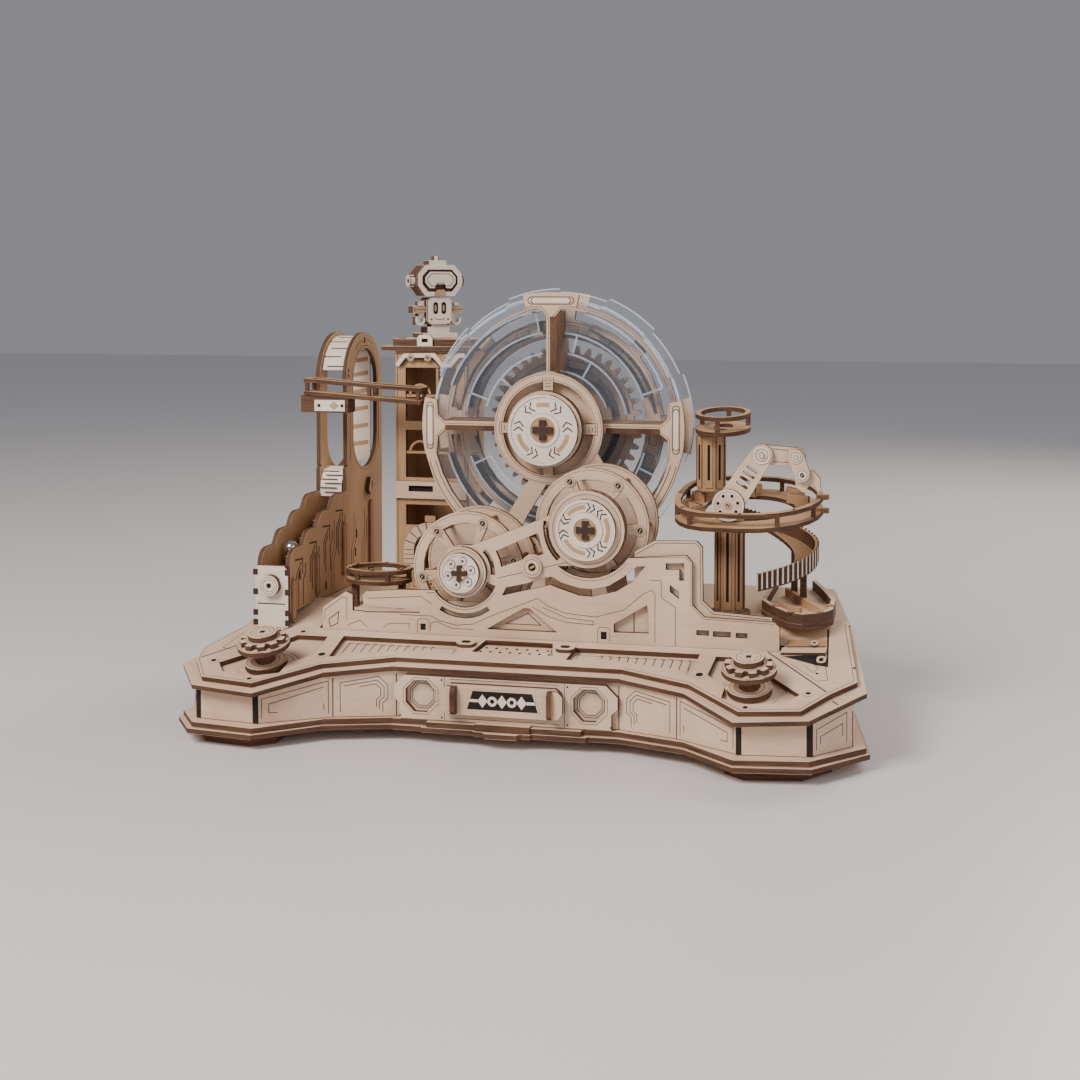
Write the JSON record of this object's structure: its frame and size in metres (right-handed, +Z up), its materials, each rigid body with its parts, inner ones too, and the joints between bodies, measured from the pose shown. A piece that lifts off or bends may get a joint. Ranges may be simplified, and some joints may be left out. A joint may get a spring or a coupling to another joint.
{
  "type": "marble maze puzzle",
  "caption": "Wooden ball-run desk toy: turning clear maze wheel, geared cage wheels, stair lift, barrel arch, tower with robot, oval tracks and a jointed arm on a console base.",
  "frame": {"origin": "bottom centre of the whole object's bounding box, on the table", "axes": "+X along the front towards the robotic arm, +Y to the back, +Z up"},
  "size_m": [0.3346, 0.1992, 0.235],
  "materials": {
    "pale_ply": "bare laser-cut birch plywood",
    "clear_plastic": "clear sheet",
    "steel": "polished ball"
  },
  "bodies": {
    "base": {"bottom_plate": "pale_ply", "lower_rim_plate": "pale_ply", "foot_front_right": "pale_ply", "foot_front_left": "pale_ply", "foot_rear": "pale_ply", "right_wall": "pale_ply", "left_wall": "pale_ply", "rear_wall": "pale_ply", "front_panel": "pale_ply", "nameplate": "pale_ply", "rim_plate": "pale_ply", "deck_plate": "pale_ply", "rear_platform": "pale_ply", "fascia_plate": "pale_ply", "fascia_backer": "pale_ply", "train_bearing_plate": "pale_ply", "hub_support": "pale_ply", "rear_support": "pale_ply", "stair_left_wall": "pale_ply", "stair_right_wall": "pale_ply", "stair_front_plate": "pale_ply", "stair_steps": "pale_ply", "barrel_strip": "pale_ply", "lower_strip": "pale_ply", "top_track": "pale_ply", "tower_front": "pale_ply", "tower_shell": "pale_ply", "tower_roof": "pale_ply", "robot_body": "pale_ply", "robot_head": "pale_ply", "robot_left_arm": "pale_ply", "robot_right_arm": "pale_ply", "mid_track": "pale_ply", "upper_track": "pale_ply", "lower_column": "pale_ply", "upper_column": "pale_ply", "spiral_ramp": "pale_ply", "collecting_tray": "pale_ply", "arm_pedestal": "pale_ply", "lower_left_track": "pale_ply"},
    "maze_wheel": {"wheel_frame": "pale_ply", "front_disc": "clear_plastic", "rear_disc": "clear_plastic", "window_ring": "pale_ply", "maze_gear": "pale_ply", "top_dial": "pale_ply"},
    "drive_pinion": {"drive_pinion": "pale_ply"},
    "right_knob": {"right_knob": "pale_ply"},
    "left_knob": {"left_knob": "pale_ply"},
    "mid_wheel": {"mid_wheel": "pale_ply", "mid_dial": "pale_ply"},
    "left_wheel": {"left_wheel": "pale_ply", "left_dial": "pale_ply"},
    "idler": {"idler_gear": "pale_ply"},
    "stair_lift": {"stair_lift": "pale_ply", "steel_ball": "steel"},
    "upper_arm": {"upper_arm": "pale_ply"},
    "forearm": {"forearm": "pale_ply"},
    "wrist": {"wrist_link": "pale_ply"},
    "claw": {"claw": "pale_ply"}
  },
  "joints": [
    {"name": "right_knob_turn", "type": "hinge", "parent": "base", "child": "right_knob", "pos_m": [0.11375, -0.072, 0.03395], "axis": [0, -0.2425, 0.9701], "continuous": true},
    {"name": "maze_wheel_turn", "type": "hinge", "parent": "base", "child": "maze_wheel", "pos_m": [-0.00175, 0.025, 0.1455], "axis": [0, 1, 0], "continuous": true},
    {"name": "drive_pinion_turn", "type": "hinge", "parent": "base", "child": "drive_pinion", "pos_m": [-0.00175, 0.043, 0.0935], "axis": [0, 1, 0], "continuous": true},
    {"name": "left_knob_turn", "type": "hinge", "parent": "base", "child": "left_knob", "pos_m": [-0.12225, -0.072, 0.03395], "axis": [0, -0.2425, 0.9701], "continuous": true},
    {"name": "mid_wheel_turn", "type": "hinge", "parent": "base", "child": "mid_wheel", "pos_m": [0.02935, -0.015, 0.1009], "axis": [0, 1, 0], "continuous": true},
    {"name": "left_wheel_turn", "type": "hinge", "parent": "base", "child": "left_wheel", "pos_m": [-0.03425, -0.015, 0.0776], "axis": [0, 1, 0], "continuous": true},
    {"name": "idler_turn", "type": "hinge", "parent": "base", "child": "idler", "pos_m": [0.00156, -0.015, 0.08131], "axis": [0, 1, 0], "continuous": true},
    {"name": "stair_lift_slide", "type": "slide", "parent": "base", "child": "stair_lift", "axis": [0, 0, 1], "range_m": [0, 0.0072]},
    {"name": "shoulder_turn", "type": "hinge", "parent": "base", "child": "upper_arm", "pos_m": [0.09405, -0.008, 0.111], "axis": [0, 1, 0], "range_deg": [-20, 4]},
    {"name": "elbow_turn", "type": "hinge", "parent": "upper_arm", "child": "forearm", "pos_m": [0.11035, -0.008, 0.1359], "axis": [0, 1, 0], "range_deg": [-25, 6]},
    {"name": "wrist_turn", "type": "hinge", "parent": "forearm", "child": "wrist", "pos_m": [0.12695, -0.008, 0.1353], "axis": [0, 1, 0], "range_deg": [-30, 5]},
    {"name": "claw_turn", "type": "hinge", "parent": "wrist", "child": "claw", "pos_m": [0.13015, -0.008, 0.1265], "axis": [0, 1, 0], "range_deg": [-20, 8]}
  ],
  "couplings": [
    {"joint": "drive_pinion_turn", "follows": "right_knob_turn", "ratio": 1},
    {"joint": "maze_wheel_turn", "follows": "right_knob_turn", "ratio": -0.3},
    {"joint": "idler_turn", "follows": "mid_wheel_turn", "ratio": -1.8333},
    {"joint": "left_wheel_turn", "follows": "mid_wheel_turn", "ratio": 0.91667}
  ]
}
